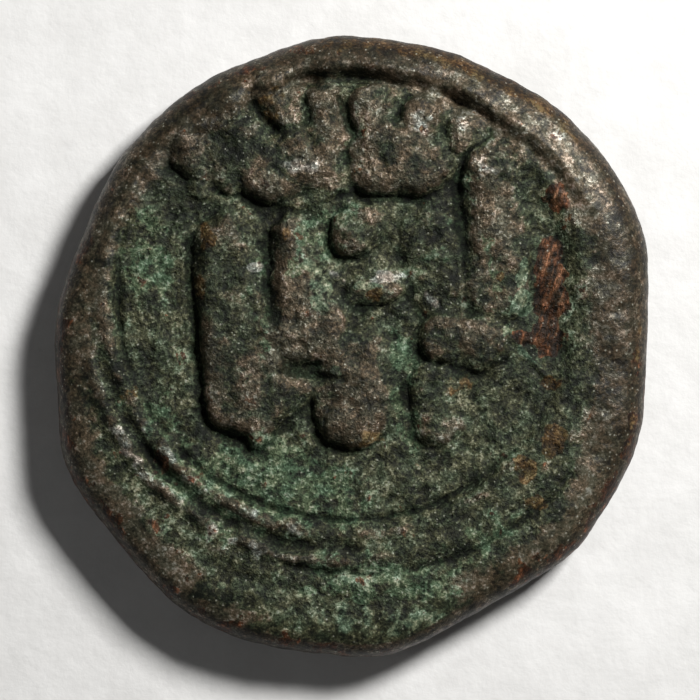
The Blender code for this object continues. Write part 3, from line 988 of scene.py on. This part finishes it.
        # Painted shadow: the strokes' lower-left feet, away from the key light, go into the hollow guide and
        # are darkened in colour.
        painted_lee_shadow = self.lee_painted_shadow * legend.lee_shadow_share(own, noise) * is_top
        self.put(mesh, "hollow", np.clip(painted_lee_shadow - proud, 0.0, 1.0))
        place = place + self.patch_warp * self.noise.shift(points, self.warp_apart, self.patch_warp_size)
        self.put(mesh, "worn", worn * (1.0 - strongest(self.dulls, place) * is_top))
        crest = np.clip(self.ridge_gain * ridges, 0.0, 1.0)
        bands = {
            "ochres": (side, self.side_ochres),
            "rusts": (side, self.side_rusts),
            "painted_highlights": (crest, self.ridge_painted_highlights),
        }
        for name in ("crusts", "pales", "painted_highlights", "rusts", "ochres", "darks_and_painted_shade"):
            share = strongest(getattr(self, name), place) * is_top
            if name in bands:
                band, arcs = bands[name]
                share = np.maximum(share, band * strongest(arcs, direction))
            self.put(mesh, name, share)

    @staticmethod
    def put(mesh: bpy.types.Mesh, name: str, values: Array) -> None:
        """Stores one number for each point under a name."""
        made = mesh.attributes.new(name, "FLOAT", "POINT")
        made.data.foreach_set("value", values.astype(np.float32))


Socket = bpy.types.NodeSocket
Colour = tuple[float, float, float, float]


@dataclass
class Recipe:
    """A short way to write a material's nodes."""

    material: bpy.types.Material

    def __post_init__(self) -> None:
        """Turns nodes on, and keeps the shader and the places in millimetres at hand."""
        self.material.use_nodes = True
        self.tree = self.material.node_tree
        self.shader = self.tree.nodes["Principled BSDF"]
        metres = self.node("TexCoord").outputs["Object"]
        self.place = self.node("VectorMath", {0: metres, "Scale": 1.0 / MM}, operation="SCALE").outputs[0]

    def node(self, kind: str, inputs: "dict | None" = None, **settings: str) -> bpy.types.Node:
        """A new node.

        Args:
            kind: Its type, without the leading ShaderNode.
            inputs: What goes into its inputs, by their names or numbers.
            settings: Its own settings by name.

        Returns:
            The node.
        """
        made = self.tree.nodes.new("ShaderNode" + kind)
        for name, value in settings.items():
            setattr(made, name, value)
        for key, value in (inputs or {}).items():
            self.feed(made.inputs[key], value)
        return made

    def feed(self, socket: Socket, value: "Socket | float | tuple") -> None:
        """Links a value into a socket, or sets it there."""
        if isinstance(value, Socket):
            self.tree.links.new(value, socket)
        else:
            socket.default_value = value

    def guide(self, name: str) -> Socket:
        """One of the mesh's guide attributes."""
        return self.node("Attribute", attribute_name=name).outputs["Fac"]

    def math(self, operation: str, first: "Socket | float", second: "Socket | float") -> Socket:
        """One arithmetic operation on two values."""
        return self.node("Math", {0: first, 1: second}, operation=operation).outputs["Value"]

    def total(self, *terms: "tuple[Socket, float] | float") -> Socket:
        """A weighted sum: each term is a socket with its weight, or a plain number."""
        result: Socket | float = 0.0
        for term in terms:
            part = term if isinstance(term, float) else self.math("MULTIPLY", *term)
            result = self.math("ADD", result, part)
        return result

    def step(
        self, value: Socket, low: float, high: float, top: float = 1.0, way: str = "SMOOTHSTEP"
    ) -> Socket:
        """0 below low, top above high, and a rise between them, smooth or LINEAR."""
        ends = {"Value": value, "From Min": low, "From Max": high, "To Max": top}
        return self.node("MapRange", ends, interpolation_type=way).outputs["Result"]

    def stretched(self, turn: float, length: float, width: float) -> Socket:
        """Places drawn out along a direction in degrees, so that noise there has fibres."""
        spin = {"Vector": self.place, "Rotation": (0.0, 0.0, -math.radians(turn))}
        turned = self.node("Mapping", spin).outputs["Vector"]
        drawn = {"Vector": turned, "Scale": (1.0 / length, 1.0 / width, 1.0 / width)}
        return self.node("Mapping", drawn).outputs["Vector"]

    def noise(self, size: float, detail: float, rough: float = 0.6, place: "Socket | None" = None) -> Socket:
        """Fractal noise around 0.5, with lumps of a size in millimetres."""
        look = {"Vector": place or self.place, "Scale": 1.0 / size, "Detail": detail, "Roughness": rough}
        return self.node("TexNoise", look).outputs["Fac"]

    def grains(self, size: float) -> tuple[Socket, Socket]:
        """Cells of a size in millimetres: the distance to the nearest point, and a random value for each."""
        cells = self.node("TexVoronoi", {"Vector": self.place, "Scale": 1.0 / size})
        split = self.node("SeparateColor", {0: cells.outputs["Color"]})
        return cells.outputs["Distance"], split.outputs[0]

    def ramp(self, value: Socket, places: tuple[float, ...], colours: tuple[Colour, ...]) -> Socket:
        """Colours strung along a value from 0 to 1, each at its place."""
        made = self.node("ValToRGB", {"Fac": value})
        elements = made.color_ramp.elements
        for index, (place, colour) in enumerate(zip(places, colours)):
            element = elements[index] if index < len(elements) else elements.new(place)
            element.position, element.color = place, colour
        return made.outputs["Color"]

    def mix(
        self,
        share: "Socket | float",
        first: "Socket | float | tuple",
        second: "Socket | float | tuple",
        way: str = "MIX",
        kind: str = "RGBA",
    ) -> Socket:
        """One colour over another, or multiplied by it. The kind VALUE does so with numbers."""
        made = self.node("Mix", {0: share}, data_type="FLOAT" if kind == "VALUE" else kind, blend_type=way)
        pair = [socket for socket in made.inputs if socket.type == kind][-2:]
        for socket, value in zip(pair, (first, second)):
            self.feed(socket, value)
        return next(output for output in made.outputs if output.type == kind)

    def shade(self, share: Socket, colour: Socket, by: Colour) -> Socket:
        """A colour multiplied by another one, as far as a share says."""
        return self.mix(share, colour, self.mix(1.0, colour, by, "MULTIPLY"))

    def bump(
        self,
        height: Socket,
        distance: float,
        below: "Socket | None" = None,
        strength: "Socket | float" = 1.0,
    ) -> Socket:
        """A bump of a depth in millimetres, laid over another one."""
        look = {"Distance": distance * MM, "Strength": strength, "Height": height}
        if below is not None:
            look["Normal"] = below
        return self.node("Bump", look).outputs["Normal"]


def opaque(*rows: tuple[float, float, float]) -> tuple[Colour, ...]:
    """Colours without see-through from rows of red, green and blue."""
    return tuple((*row, 1.0) for row in rows)


@dataclass(frozen=True)
class Layer:
    """One kind of skin on the copper: its tones from dark to light specks, its roughness and its place.

    It lies where the sum of base, own * its guide, worn * wear, cloud * broad noise and mottle * middle noise
    is above 0. The noises run around 0, and the edge is as soft as softness.
    """

    guide: str
    tones: tuple[Colour, ...]
    roughness: float
    metal: float = 0.0
    base: float = 0.0
    own: float = 0.0
    worn: float = 0.0
    cloud: float = 0.0
    mottle: float = 0.0
    softness: float = 0.25
    most: float = 0.95


@dataclass(frozen=True)
class Grain:
    """One noise in the patina: its size and look, its weight in the tone, and how deep its bump is."""

    size: float
    detail: float
    roughness: float
    weight: float
    depth: float = 0.0

    def read(self, recipe: Recipe) -> Socket:
        """The noise's value."""
        return recipe.noise(self.size, self.detail, self.roughness)


@dataclass(frozen=True)
class Patina:
    """Old copper's patina, laid up from its layers, with painted shade in hollows and at the strokes' feet,
    and painted highlights and glints.

    A span or an edge holds the values where a step begins and ends, and picks and hollow_span its top too. A
    grain holds a noise's size in millimetres, its detail and its roughness, and fibre the direction in
    degrees, length and width of the streaks.
    """

    skin: Layer = Layer(
        "skin",
        opaque((0.004, 0.005, 0.003), (0.0195, 0.023, 0.013), (0.062, 0.071, 0.041), (0.2, 0.213, 0.16)),
        roughness=0.54,
    )
    layers: tuple[Layer, ...] = (
        Layer(
            "wear",
            opaque((0.011, 0.009, 0.006), (0.042, 0.035, 0.023), (0.11, 0.088, 0.065), (0.262, 0.224, 0.2)),
            roughness=0.42, metal=0.6, base=-0.42, worn=0.92, cloud=1.6, mottle=1.5,
        ),
        Layer(
            "crusts",
            opaque(
                (0.005, 0.008, 0.005), (0.0285, 0.0455, 0.0255), (0.076, 0.118, 0.07), (0.242, 0.286, 0.216)
            ),
            roughness=0.72, base=-0.36, own=0.48, worn=-0.15, cloud=1.4, mottle=2.4, most=0.85,
        ),
        Layer(
            "pales",
            opaque((0.015, 0.025, 0.015), (0.06, 0.085, 0.055), (0.16, 0.2, 0.14), (0.4, 0.43, 0.35)),
            roughness=0.58, base=-0.62, own=0.75, mottle=2.4, most=0.85,
        ),
        # Painted highlights: light tones, over partly metallic, glossy metal.
        Layer(
            "painted_highlights",
            opaque((0.04, 0.037, 0.034), (0.14, 0.13, 0.122), (0.33, 0.31, 0.295), (0.64, 0.615, 0.59)),
            roughness=0.3, metal=0.6, base=-0.5, own=0.85, mottle=1.8, most=0.8,
        ),
        Layer(
            "rusts",
            opaque((0.003, 0.002, 0.001), (0.02, 0.0085, 0.004), (0.092, 0.036, 0.0155), (0.36, 0.155, 0.09)),
            roughness=0.5, metal=0.1, base=-0.42, own=1.0, cloud=0.6, mottle=2.6, softness=0.16,
        ),
        Layer(
            "ochres",
            opaque((0.005, 0.003, 0.001), (0.032, 0.019, 0.007), (0.085, 0.053, 0.02), (0.22, 0.16, 0.085)),
            roughness=0.55, base=-0.62, own=0.9, mottle=2.4,
        ),
    )
    stops: tuple[float, ...] = (0.0, 0.36, 0.72, 1.0)
    grit: Grain = Grain(0.055, 2.0, 0.7, 0.35, 0.024)
    speckle: Grain = Grain(0.13, 4.0, 0.7, 0.60, 0.050)
    mottle: Grain = Grain(0.42, 4.0, 0.62, 0.55, 0.066)
    cloud: Grain = Grain(1.3, 4.0, 0.6, 0.40)
    pick_weight: float = 0.12
    tone_span: Pair = (0.855, 1.170)
    fibre: tuple[float, float, float] = (75.0, 0.80, 0.16)
    fibre_grain: tuple[float, float, float] = (1.0, 4.0, 0.75)
    streak_weights: Pair = (0.8, 0.4)
    streak_span: Pair = (0.46, 0.76)
    tint_grain: Pair = (0.34, 3.0)
    tint_span: Pair = (0.40, 0.60)
    cool: Colour = (0.88, 1.00, 0.93, 1.0)
    warm: Colour = (1.10, 1.00, 0.87, 1.0)
    edge_shade: Colour = (0.46, 0.38, 0.29, 1.0)
    # Multiplies the colour under the darks patches: partly darker patina, partly painted shade.
    dark_shade: Colour = (0.56, 0.55, 0.53, 1.0)
    # Light flecks: partly pale crystals, partly painted glints.
    fleck_glint: Colour = (0.290, 0.290, 0.240, 1.0)
    fleck_size: float = 0.048
    fleck_picks: tuple[float, float, float] = (0.93, 0.96, 0.75)
    fleck_edge: Pair = (0.60, 0.20)
    fleck_speckle: Pair = (0.42, 0.58)
    pit: Colour = (0.002, 0.003, 0.002, 1.0)
    hole_size: float = 0.115
    hole_picks: tuple[float, float, float] = (0.80, 0.86, 0.54)
    hole_edge: Pair = (0.50, 0.20)
    hole_wander: float = 0.6
    hole_depth: float = 0.030
    worn_holes: float = 0.6
    # Partly dark patina in hollows, partly painted shade and painted shadow at the strokes' lower-left feet.
    hollow_shade: Colour = (0.12, 0.17, 0.12, 1.0)
    hollow_mottle: float = 0.8
    hollow_span: tuple[float, float, float] = (0.22, 1.00, 0.92)
    hollow_rough: float = 0.9
    gloss_of_specks: float = 0.16
    bare_tones: Pair = (0.15, 0.75)
    rim_metal: float = 0.55
    rim_smoothing: float = 0.80
    rim_grit: float = 0.5
    specular: float = 0.18

    def mask(self, recipe: Recipe, layer: Layer, worn: Socket, cloud: Socket, mottle: Socket) -> Socket:
        """Where a layer lies, from 0 to its most."""
        noises = -0.5 * (layer.cloud + layer.mottle)
        parts = [(worn, layer.worn), (cloud, layer.cloud), (mottle, layer.mottle), layer.base + noises]
        if layer.own:
            parts.append((recipe.guide(layer.guide), layer.own))
        half = layer.softness / 2.0
        return recipe.step(recipe.total(*parts), -half, half, layer.most)

    def streaks(self, recipe: Recipe, speckle: Socket) -> Socket:
        """The tone of the flaked copper: fibres with some speckle."""
        fibre = recipe.noise(*self.fibre_grain, place=recipe.stretched(*self.fibre))
        mixed = recipe.total(*zip((fibre, speckle), self.streak_weights))
        return recipe.step(mixed, *self.streak_span, way="LINEAR")

    def flecks_and_glints(self, recipe: Recipe, distance: Socket, pick: Socket, speckle: Socket) -> Socket:
        """Where the small light flecks lie, partly pale crystals and partly painted glints: near the points
        of a few cells, where the speckle is light.
        """
        near, light = recipe.step(distance, *self.fleck_edge), recipe.step(speckle, *self.fleck_speckle)
        picked = recipe.step(pick, *self.fleck_picks)
        return recipe.math("MULTIPLY", picked, recipe.math("MULTIPLY", near, light))

    def holes(self, recipe: Recipe, worn: Socket, speckle: Socket) -> Socket:
        """Where the small dark holes lie: in a few larger cells, ragged, and fewer on worn metal."""
        distance, pick = recipe.grains(self.hole_size)
        ragged = recipe.total((distance, 1.0), (speckle, self.hole_wander), -self.hole_wander / 2.0)
        open_share = recipe.total((worn, -self.worn_holes), 1.0)
        within = recipe.math("MULTIPLY", recipe.step(ragged, *self.hole_edge), open_share)
        return recipe.math("MULTIPLY", within, recipe.step(pick, *self.hole_picks))

    def dress(self, piece: bpy.types.Object) -> None:
        """Builds the material and puts it on a piece."""
        recipe = Recipe(bpy.data.materials.new("dark_patina"))
        grains = (self.grit, self.speckle, self.mottle, self.cloud)
        grit, speckle, mottle, cloud = noises = [grain.read(recipe) for grain in grains]
        distance, pick = recipe.grains(self.fleck_size)
        tone = recipe.total(*zip(noises, [grain.weight for grain in grains]), (pick, self.pick_weight))
        tone = recipe.step(tone, *self.tone_span, way="LINEAR")
        streaks = self.streaks(recipe, speckle)
        worn, rim = recipe.guide("worn"), recipe.guide("rim")
        colour = recipe.ramp(tone, self.stops, self.skin.tones)
        roughness: Socket | float = self.skin.roughness
        metal: Socket | float = self.skin.metal
        for layer in self.layers:
            mask = self.mask(recipe, layer, worn, cloud, mottle)
            grain = streaks if layer.guide == "rusts" else tone
            colour = recipe.mix(mask, colour, recipe.ramp(grain, self.stops, layer.tones))
            roughness = recipe.mix(mask, roughness, layer.roughness, kind="VALUE")
            metal = recipe.mix(mask, metal, layer.metal, kind="VALUE")
        tint = recipe.step(recipe.noise(*self.tint_grain), *self.tint_span, way="LINEAR")
        colour = recipe.mix(1.0, colour, recipe.mix(tint, self.cool, self.warm), "MULTIPLY")
        # The edge band is darkened, most towards the upper right; the darks patches are partly darker patina
        # and partly painted shade.
        for guide, shade in (("side", self.edge_shade), ("darks_and_painted_shade", self.dark_shade)):
            colour = recipe.shade(recipe.guide(guide), colour, shade)
        colour = recipe.mix(self.flecks_and_glints(recipe, distance, pick, speckle), colour, self.fleck_glint)
        holes = self.holes(recipe, worn, speckle)
        colour = recipe.mix(holes, colour, self.pit)
        # Hollows and the strokes' lower-left feet are darkened towards green-black: partly dark patina,
        # partly painted shade and painted shadow.
        uneven = (mottle, self.hollow_mottle), -self.hollow_mottle / 2.0
        hollow = recipe.step(recipe.total((recipe.guide("hollow"), 1.0), *uneven), *self.hollow_span)
        recipe.feed(recipe.shader.inputs["Base Color"], recipe.shade(hollow, colour, self.hollow_shade))
        roughness = recipe.total((roughness, 1.0), (tone, -self.gloss_of_specks), self.gloss_of_specks / 2.0)
        roughness = recipe.mix(hollow, roughness, self.hollow_rough, kind="VALUE")
        recipe.feed(recipe.shader.inputs["Roughness"], roughness)
        bare = recipe.math("MULTIPLY", metal, recipe.step(tone, *self.bare_tones))
        calm = recipe.total((rim, -self.rim_metal), 1.0)
        recipe.feed(recipe.shader.inputs["Metallic"], recipe.math("MULTIPLY", bare, calm))
        recipe.shader.inputs["Specular IOR Level"].default_value = self.specular
        strength = recipe.total((rim, -self.rim_smoothing), 1.0)
        normal = recipe.bump(mottle, self.mottle.depth, strength=strength)
        normal = recipe.bump(speckle, self.speckle.depth, normal, strength)
        normal = recipe.bump(recipe.total((holes, -1.0), 1.0), self.hole_depth, normal, strength)
        normal = recipe.bump(grit, self.grit.depth, normal, recipe.total((rim, -self.rim_grit), 1.0))
        recipe.feed(recipe.shader.inputs["Normal"], normal)
        piece.data.materials.append(recipe.material)


@dataclass
class Studio:
    """A plain pale floor, one soft key light, a weak fill and a camera that looks straight down.

    A light's numbers are its direction and elevation in degrees, its side in millimetres and its watts.
    """

    view_width: float = 14.56
    view_centre: Pair = (-0.042, -0.073)
    lens: float = 300.0
    sensor: float = 36.0
    clip: Pair = (0.005, 5.0)
    floor_half: float = 300.0
    floor_light: Colour = (0.74, 0.73, 0.71, 1.0)
    floor_dark: Colour = (0.66, 0.65, 0.63, 1.0)
    floor_rough: float = 0.9
    paper_grain: tuple[float, float, float] = (1.6, 6.0, 0.7)
    paper_span: Pair = (0.3, 0.7)
    paper_bump_grain: Pair = (0.35, 4.0)
    paper_bump: float = 0.02
    light_distance: float = 90.0
    key: tuple[float, float, float, float] = (44.0, 46.0, 20.0, 0.134)
    fill: tuple[float, float, float, float] = (204.0, 60.0, 40.0, 0.004)
    sky: Colour = (0.95, 0.97, 1.0, 1.0)
    sky_strength: float = 0.035

    def add_floor(self) -> None:
        """A flat pale square just under the coin, marked as no part of the object."""
        half = self.floor_half * MM
        corners = [(-half, -half, 0.0), (half, -half, 0.0), (half, half, 0.0), (-half, half, 0.0)]
        mesh = bpy.data.meshes.new("floor")
        mesh.from_pydata(corners, [], [(0, 1, 2, 3)])
        floor = linked("floor", mesh)
        recipe = Recipe(bpy.data.materials.new("pale_floor"))
        paper = recipe.step(recipe.noise(*self.paper_grain), *self.paper_span)
        recipe.feed(recipe.shader.inputs["Base Color"], recipe.mix(paper, self.floor_dark, self.floor_light))
        recipe.shader.inputs["Roughness"].default_value = self.floor_rough
        bumps = recipe.bump(recipe.noise(*self.paper_bump_grain), self.paper_bump)
        recipe.feed(recipe.shader.inputs["Normal"], bumps)
        mesh.materials.append(recipe.material)
        floor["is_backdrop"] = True

    def add_light(self, name: str, direction: float, elevation: float, size: float, power: float) -> None:
        """A square soft light aimed at the coin.

        Args:
            name: The light's name.
            direction: Where it stands, in degrees counter-clockwise from +X.
            elevation: Degrees above the floor.
            size: Side in millimetres.
            power: Watts.
        """
        light = bpy.data.lights.new(name, "AREA")
        light.shape = "SQUARE"
        light.size = size * MM
        light.energy = power
        lamp = linked(name, light)
        turn, lift = math.radians(direction), math.radians(elevation)
        way = Vector((math.cos(turn) * math.cos(lift), math.sin(turn) * math.cos(lift), math.sin(lift)))
        lamp.location = way * self.light_distance * MM
        lamp.rotation_euler = (-way).to_track_quat("-Z", "Y").to_euler()
        lamp.visible_camera = False

    def add_camera(self, top: float) -> None:
        """A long lens straight above the coin's top, with +Y up and framed as the photograph is."""
        data = bpy.data.cameras.new("camera")
        data.lens = self.lens
        data.sensor_width = self.sensor
        data.clip_start, data.clip_end = self.clip
        camera = linked("camera", data)
        distance = self.view_width * MM * self.lens / self.sensor
        camera.location = (self.view_centre[0] * MM, self.view_centre[1] * MM, top + distance)
        bpy.context.scene.camera = camera

    def build(self, top: float) -> None:
        """Sets up the floor, the lights, the sky, the colour view and the camera.

        Args:
            top: Height of the coin's top in metres.
        """
        self.add_floor()
        self.add_light("key_light", *self.key)
        self.add_light("fill_light", *self.fill)
        world = bpy.data.worlds.new("soft_sky")
        world.use_nodes = True
        background = world.node_tree.nodes["Background"]
        background.inputs["Color"].default_value = self.sky
        background.inputs["Strength"].default_value = self.sky_strength
        bpy.context.scene.world = world
        bpy.context.scene.view_settings.view_transform = "Standard"
        self.add_camera(top)


def main() -> None:
    """Builds the coin and the studio."""
    logging.basicConfig(level=logging.INFO, format="%(name)s: %(message)s")
    cad_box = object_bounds()
    piece = CoinMesh().build()
    Patina().dress(piece)
    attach(piece, BODY)
    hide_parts(NODE)
    log.info("%s: %d points, %d faces", piece.name, len(piece.data.vertices), len(piece.data.polygons))
    Studio().build(top=cad_box[1].z)


if __name__ == "__main__":
    main()
